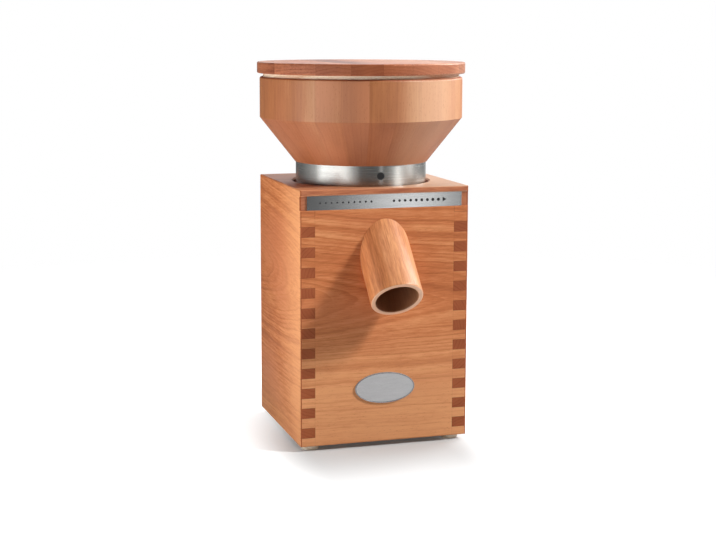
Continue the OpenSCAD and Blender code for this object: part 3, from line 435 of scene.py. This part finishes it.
ink = Finish("printing_ink")
ink.surface(Base_Color=rgb(28, 29, 32), Roughness=0.5 + ink.noise(ink.point(), (0.8,) * 3) * 0.1)
plate_low, plate_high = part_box("scale_plate")
print_y = plate_low.y - PRINT_T / 2
print_z = (plate_low.z + plate_high.z) / 2
marks = []
for k in range(DOT_COUNT):
    if k not in DOT_GAP:
        bpy.ops.mesh.primitive_cylinder_add(vertices=20, radius=DOT_SMALL + k * DOT_GROWS, depth=PRINT_T,
                                            location=(DOT_FIRST + k * DOT_PITCH, print_y, print_z),
                                            rotation=(math.pi / 2, 0, 0))
        marks.append(straightened("scale_dot"))
bpy.ops.mesh.primitive_cylinder_add(vertices=3, radius=ARROW_L / 2, depth=PRINT_T,
                                    location=(DOT_FIRST + DOT_COUNT * DOT_PITCH, print_y, print_z),
                                    rotation=(math.pi / 2, math.pi / 2, 0))
marks.append(straightened("scale_arrow"))
dressed(joined(marks, "scale_marks"), ink, "case")


# ---------------------------------------------------------------- badge
# An oval plate of finely brushed metal glued to the front. A narrow raised rim runs round it, and its
# middle is left bare.

RIM_W = 0.9 * MM
RIM_H = 0.35 * MM
RIM_INSET = 0.15 * MM
RIM_ROUND = 0.12 * MM

brushed("badge_steel", (1, 0.15, 0), rgb(236, 236, 238), 0.36, 22, metallic=0.72).on("badge_plate")
badge_low, badge_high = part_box("badge_plate")
badge_c = (badge_low + badge_high) / 2
badge_half = (badge_high - badge_low) / 2
bpy.ops.mesh.primitive_circle_add(vertices=96, radius=1.0, fill_type="NGON", rotation=(math.pi / 2, 0, 0),
                                  location=(badge_c.x, badge_low.y, badge_c.z))
rim = bpy.context.object
rim.scale = (badge_half.x - RIM_INSET, badge_half.z - RIM_INSET, 1)
bpy.ops.object.transform_apply(location=True, rotation=True, scale=True)
bpy.ops.object.mode_set(mode="EDIT")
bpy.ops.mesh.inset(thickness=RIM_W, depth=0)
bpy.ops.mesh.delete(type="FACE")
bpy.ops.mesh.select_all(action="SELECT")
bpy.ops.mesh.extrude_region_move(TRANSFORM_OT_translate={"value": (0, -RIM_H, 0)})
bpy.ops.mesh.select_all(action="SELECT")
bpy.ops.mesh.normals_make_consistent(inside=False)
bpy.ops.object.mode_set(mode="OBJECT")
rounded = rim.modifiers.new("rounded", "BEVEL")
rounded.width = RIM_ROUND
rounded.segments = 2
bpy.ops.object.modifier_apply(modifier=rounded.name)
dressed(straightened("badge_rim"), plated("badge_rim_steel", rgb(176, 178, 182), 0.28), "case")


# ---------------------------------------------------------------- switch and cord inlet
# A black rocker switch is snapped into the rear board, and a rubber bush lines the hole for the supply
# cord below it.

moulded("black_plastic", rgb(30, 30, 32), 0.38).on("switch_housing", "switch_rocker", "cooling_fan",
                                                   "throat_guard")
moulded("black_rubber", rgb(24, 24, 25), 0.62, 0.6).on("cord_inlet")


# ---------------------------------------------------------------- milling unit
# The chamber and the stone carrier are cast aluminium, the thread ring is brass, and the two
# millstones are sharp grit bound in a pale ceramic, furrowed on their milling faces.

GRIT = 0.9 * MM

plated("cast_aluminium", rgb(176, 178, 180), 0.48, size=1.2).on(
    "milling_chamber", "upper_motor_cap", "lower_motor_cap", "stone_carrier", "stone_holder", "rotor_cage")
plated("turned_brass", rgb(212, 178, 104), 0.30).on("thread_ring")

grit = Finish("millstone_grit")
grit_at = grit.point()
grit_near = grit.node("ShaderNodeVectorMath", {"operation": "SCALE"}, {0: grit_at, "Scale": MM / GRIT})
grains = grit.node("ShaderNodeTexVoronoi", {"feature": "F1"}, {"Vector": grit_near, "Scale": 1.0})
grit_cloud = grit.noise(grit_at, (18,) * 3, 3.0)
speck = grains.step(0.55, 0.2)
grit_tint = grit.mix(speck * 0.6 + grit_cloud * 0.3, rgb(222, 214, 196), rgb(150, 140, 124))
grit.surface(Base_Color=grit_tint, Roughness=0.85 + speck * 0.1, Normal=grit.bump(grains, 0.4 * MM, 0.7))
grit.on("lower_millstone", "upper_millstone")

felt = Finish("seal_felt")
hairs = felt.noise(felt.point(), (0.7,) * 3, 4.0, 0.0, 0.7)
felt.surface(Base_Color=felt.mix(hairs, rgb(150, 144, 130), rgb(96, 92, 84)), Roughness=0.95,
             Normal=felt.bump(hairs, 0.3 * MM, 0.7))
felt.on("shaft_seal")


# ---------------------------------------------------------------- motor
# A vertical motor hangs under the chamber. Its core is stacked sheet steel, its windings are enamelled
# copper, and its shaft and bearings are ground steel.

SHEET = 0.9 * MM
WIRE_D = 0.9 * MM
SHEET_GREY = rgb(136, 140, 148)

sheets = Finish("core_sheets")
sheets_at = sheets.point()
sheet_gap = (sheets.axes(sheets_at)[2] / (SHEET / MM)).math("FRACT").step(0.78, 0.92)
sheet_cloud = sheets.noise(sheets_at, (9,) * 3, 3.0)
sheet_tint = sheets.mix(sheet_gap * 0.7 + sheet_cloud * 0.25, SHEET_GREY, darker(SHEET_GREY, 0.4))
sheets.surface(Base_Color=sheet_tint, Metallic=1.0, Roughness=0.45 + sheet_cloud * 0.1,
               Normal=sheets.bump(1 - sheet_gap, 0.2 * MM, 0.6))
sheets.on("stator_core", "rotor_core")

plated("ground_steel", rgb(188, 190, 194), 0.20, size=1.0).on(
    "motor_shaft", "upper_bearing_outer", "lower_bearing_outer", "upper_bearing_inner", "lower_bearing_inner",
    "upper_ball_set", "lower_ball_set", "drive_pin")

copper = Finish("copper_windings")
wire_x, wire_y, wire_z = copper.axes(copper.node("ShaderNodeTexCoord", result="Object"))
turns = ((wire_x * wire_x + wire_y * wire_y).math("SQRT") + wire_z) / WIRE_D
strand = (turns.math("FRACT") - 0.5).math("ABSOLUTE") * 2
# Painted shade: each turn of wire is darker towards its sides, in the grooves between the turns.
copper.surface(Base_Color=copper.mix(strand * 0.7, rgb(206, 122, 62), rgb(110, 52, 22)), Metallic=0.8,
               Roughness=0.32 + strand * 0.1, Normal=copper.bump(1 - strand * strand, 0.3 * MM, 0.8))
copper.on("stator_windings")


# ---------------------------------------------------------------- electrics
# The capacitor is a drawn aluminium can in a spring band, the terminal block is white moulded plastic,
# and the leads have brown insulation.

plated("capacitor_can", rgb(206, 208, 210), 0.28, size=2.5).on("capacitor")
moulded("block_plastic", rgb(232, 231, 224), 0.40).on("terminal_block")
moulded("lead_insulation", rgb(118, 72, 42), 0.42, 0.2).on("internal_leads")


# ---------------------------------------------------------------- hopper
# The bowl is turned from glued beech staves with upright grain, so its colour changes from one stave to
# the next, and some staves are painted paler as painted sheen. A turned steel collar covers its spigot,
# and a dark pin in the collar is the index.

STAVES = 24
STAVE_START = math.radians(-12.6)
BOWL_R = 105 * MM
GLUE_HALF = 0.006

STAVE_TONES = [0.30, 0.38, 0.44, 0.52, 0.42, 0.1, -0.1, 0.1, 0.2, -0.1, 0.0, -0.2,
               0.1, 0.2, -0.1, 0.0, 0.15, -0.1, 0.16, 0.22, 0.24, 0.26, 0.34, 0.74]
# How much painted sheen each stave gets, mixed in as a paler colour.
STAVE_PAINTED_SHEEN = [0.05, 0.15, 0.8, 1.0, 0.6, 0.2, 0.1, 0.0, 0.2, 0.0, 0.3, 0.0,
               0.1, 0.3, 0.0, 0.1, 0.2, 0.0, 0.0, 0.0, 0.0, 0.05, 0.35, 0.2]


def by_board(wood, turn, tones, blend="CONSTANT"):
    """The tone of each glued board, from -1 to 1. turn counts the boards, and after the last comes the
    first again."""
    stops = [(i / len(tones), [tone * 0.5 + 0.5] * 3 + [1]) for i, tone in enumerate(tones)]
    ramp = wood.node("ShaderNodeValToRGB", {"stops": stops, "blend": blend},
                     [(turn / len(tones)).math("FRACT")])
    return wood.node("ShaderNodeSeparateColor", {}, [ramp]) * 2 - 1


bowl_wood = Finish("bowl_beech")
bowl_x, bowl_y, bowl_z = bowl_wood.axes(bowl_wood.node("ShaderNodeTexCoord", result="Object"))
bowl_angle = bowl_x.math("ARCTAN2", 0 - bowl_y)
stave_turn = (bowl_angle - STAVE_START) * (STAVES / math.tau)
stave_tone = by_board(bowl_wood, stave_turn, STAVE_TONES)
# Painted sheen, stave by stave.
stave_painted_sheen = by_board(bowl_wood, stave_turn, STAVE_PAINTED_SHEEN, "LINEAR") * 1.5
stave_across = (stave_turn.math("FRACT") - 0.5) * (math.tau / STAVES * BOWL_R / MM)
bowl_radius = (bowl_x * bowl_x + bowl_y * bowl_y).math("SQRT")
stave_at = bowl_wood.vector(bowl_z / MM + stave_turn.math("FLOOR") * 83, stave_across, bowl_radius / MM)
glue = (stave_turn - stave_turn.math("ROUND")).math("ABSOLUTE").step(GLUE_HALF, GLUE_HALF / 3)
beech(bowl_wood, stave_at, (-260, 60), ring=4.2, board=stave_tone, seed=4.4, bend=6, figure=0.28,
      streaks=0.35, light=rgb(207, 153, 104), middle=rgb(177, 110, 66), dark=rgb(128, 66, 38),
      pale=stave_painted_sheen, sap=rgb(222, 177, 146), end=end_grain(bowl_wood, (0, 0, 1), 0.2, 1.1),
      seam=glue * 0.3, roughness=0.46, shine=0.35).on("hopper_bowl")

brushed("collar_steel", (1, 0, 0), rgb(204, 204, 200), 0.26, 70, turned=True).on("hopper_collar")
moulded("index_plastic", rgb(34, 34, 36), 0.35).on("index_marker")


# ---------------------------------------------------------------- lid
# A flat disc glued from wide strips, redder and darker than the case, with an eased edge. Its upright
# edge is painted darker, as painted shade, and its right part paler, as painted sheen. A paler disc
# is glued under it, lies on the rim and keeps the lid in the middle.

STRIP_W = 30 * MM
STRIP_START = -10 * MM
STRIP_TONES = [0.12, 0.08, 0.02, 0.45, 0.8, 0.15, 0.24, 0.85]

lid_wood = Finish("lid_beech")
lid_x = lid_wood.axes(lid_wood.node("ShaderNodeTexCoord", result="Object"))[0]
strip_turn = (lid_x - STRIP_START) / STRIP_W
strip_glue = (strip_turn - strip_turn.math("ROUND")).math("ABSOLUTE").step(0.010, 0.004)
# Painted shade darkens the lid's upright edge, and pale paints a sheen on its right part.
lid_side_shade = end_grain(lid_wood, (0, 0, 1), 0.6, 0.3)
beech(lid_wood, lid_wood.point((0, 1, 0)), (30, 80), seed=9.3, figure=0.9,
      board=by_board(lid_wood, strip_turn, STRIP_TONES) + lid_side_shade * 0.2,
      light=rgb(214, 144, 104), middle=rgb(186, 112, 76), dark=rgb(118, 56, 34),
      pale=lid_x.step(-20 * MM, 60 * MM) * 0.6, sap=rgb(186, 152, 130),
      end=end_grain(lid_wood, (0, 1, 0)) * 0.6, seam=strip_glue * 0.5, roughness=0.36, shine=0.25).on("lid")

insert_wood = Finish("insert_beech")
beech(insert_wood, insert_wood.point((0, 1, 0)), (10, 120), seed=12.1, light=rgb(248, 234, 214),
      middle=rgb(240, 218, 190), dark=rgb(214, 182, 146)).on("lid_insert")


# ---------------------------------------------------------------- studio
# A pale floor that glows to white away from the mill, with a painted contact shadow where its glow is
# held back near the mill, a key light from the right in front, weaker soft boxes above, behind and on
# both sides, and a dim room whose bright and dark parts show in the steel.

FLOOR_R = 1.3
SHADE_X = -0.01
SHADE_HALF = 0.065
SHADE_Y = -0.085
SHADE_FAR = 0.20
AIR_SCALE = 4

bpy.ops.mesh.primitive_circle_add(vertices=96, radius=FLOOR_R, fill_type="NGON", location=(0, 0, 0))
floor = bpy.context.object
floor.name = "floor"
paper = Finish("floor_paper")
paper_x, paper_y = paper.axes(paper.node("ShaderNodeTexCoord", result="Object"))[:2]
paper_far = (paper_x * paper_x + paper_y * paper_y).math("SQRT")
# Painted shadow: the floor's glow fades out in a box along the front of the mill, and the floor glows at full
# strength only to the camera.
near_x = ((paper_x - SHADE_X).math("ABSOLUTE") - SHADE_HALF).math("MAXIMUM", 0) * 3
near_y = paper_y - SHADE_Y
paper_near = (near_x * near_x + near_y * near_y).math("SQRT")
painted_floor_glow = paper.mix(paper_near.step(0.0, SHADE_FAR), (0.04, 0.04, 0.04, 1), (0.75, 0.75, 0.75, 1))
paper_seen = paper.node("ShaderNodeLightPath", result="Is Camera Ray")
painted_floor_glow = paper.mix(paper_seen * 0.93 + 0.07, (0, 0, 0, 1), painted_floor_glow)
paper.surface(Base_Color=(0.51, 0.525, 0.535, 1), Roughness=0.8, Alpha=paper_far.step(1.25, 0.55),
              Emission_Color=painted_floor_glow, Emission_Strength=1.0)
floor.data.materials.append(paper.material)
floor.select_set(False)


def soft_box(name, place, aim, size, power, colour=(1, 1, 1), mirrored=True):
    """A rectangle of light. One that isn't mirrored shows in no gloss."""
    lamp = bpy.data.lights.new(name, "AREA")
    lamp.shape = "RECTANGLE"
    lamp.size, lamp.size_y = size
    lamp.energy = power
    lamp.color = colour
    box = bpy.data.objects.new(name, lamp)
    box.location = place
    box.rotation_euler = (Vector(aim) - Vector(place)).to_track_quat("-Z", "Y").to_euler()
    box.visible_camera = False
    box.visible_glossy = mirrored
    bpy.context.scene.collection.objects.link(box)


soft_box("key_light", (1.50, -0.90, 1.50), (0, 0, 0.2), (0.36, 0.36), 52, (1.0, 0.99, 0.97))
soft_box("top_light", (0, 0.10, 1.20), (0, 0, 0.3), (0.80, 0.80), 3.2)
soft_box("rear_light", (0.1, 0.9, 0.9), (0, 0, 0.25), (0.80, 0.50), 3.6)
soft_box("sheen_light", (0.79, 0.32, 0.73), (0, -0.1, 0.2), (0.50, 0.50), 5.3)
soft_box("side_light", (-1.20, 0.30, 0.45), (0, 0, 0.25), (0.50, 0.50), 1.5, mirrored=False)
soft_box("edge_light", (-0.32, -0.12, 0.145), (-0.087, -0.08, 0.10), (0.12, 0.28), 0.53, mirrored=False)

AIR_LOW = [(-180, 0.15), (-165, 0.20), (-140, 0.30), (-121, 0.62), (-104, 1.20), (-88, 4.0), (-73, 4.0),
           (-58, 4.0), (-45, 3.7), (-32, 1.5), (-18, 0.20), (-2, 0.10), (12, 0.10), (15, 0.16), (16.4, 0.24),
           (17.8, 0.95), (19.4, 2.1), (20.4, 0.9), (21.4, 0.20), (24, 0.16), (34, 0.44), (60, 1.00),
           (80, 2.00), (96, 0.65), (125, 0.34), (148, 0.60), (158, 0.60), (166, 0.50), (180, 0.15)]
AIR_HIGH = [(-180, 0.08), (-130, 0.06), (-90, 0.03), (-50, 0.03), (-10, 0.03), (30, 0.04), (60, 0.10),
            (120, 0.12), (145, 0.22), (160, 0.34), (170, 0.24), (180, 0.10)]
air = Finish("studio_air", world=True)
air_x, air_y, air_z = air.axes(air.node("ShaderNodeTexCoord", result="Generated"))
air_turn = air_x.math("ARCTAN2", 0 - air_y) / math.tau + 0.5
air_height = air_z.math("ARCSINE") * (180 / math.pi)


def air_band(levels):
    """The room's brightness round the mill, from pairs of a turn in degrees and a level."""
    stops = [(turn / 360 + 0.5, [level / AIR_SCALE] * 3 + [1]) for turn, level in levels]
    band = air.node("ShaderNodeValToRGB", {"stops": stops}, [air_turn])
    return air.node("ShaderNodeSeparateColor", {}, [band]) * AIR_SCALE


air_is_low = air_height.step(3, -5)
air_is_high = (1 - air_is_low) * air_height.step(55, 35)
air_level = air_band(AIR_LOW) * air_is_low + air_band(AIR_HIGH) * air_is_high
air_light = air.node("ShaderNodeBackground", {}, [(1, 1, 1, 1), air_level])
air_white = air.node("ShaderNodeBackground", {}, [(1, 1, 1, 1), 1.0])
air_seen = air.node("ShaderNodeLightPath", result="Is Camera Ray")
air.node("ShaderNodeOutputWorld", {}, [air.node("ShaderNodeMixShader", {}, [air_seen, air_light, air_white])])
bpy.context.scene.world = air.material
bpy.context.scene.view_settings.view_transform = "Standard"

CAMERA_TURN = math.radians(-17.11)
CAMERA_PITCH = math.radians(7.76)
CAMERA_ROLL = math.radians(0.16)
CAMERA_AIM = Vector((-2.02, 0, 210.5)) * MM
CAMERA_FAR = 1528.4 * MM
camera = bpy.data.objects.new("camera", bpy.data.cameras.new("camera"))
camera.data.lens = 74.12
camera.data.sensor_width = 36
camera.data.shift_x = -0.001
camera.data.shift_y = -0.06
back = Vector((math.sin(CAMERA_TURN) * math.cos(CAMERA_PITCH),
               -math.cos(CAMERA_TURN) * math.cos(CAMERA_PITCH), math.sin(CAMERA_PITCH)))
camera.location = CAMERA_AIM + back * CAMERA_FAR
camera.rotation_euler = (-back).to_track_quat("-Z", "Y").to_euler()
camera.rotation_euler.rotate_axis("Z", CAMERA_ROLL)
bpy.context.scene.collection.objects.link(camera)
bpy.context.scene.camera = camera
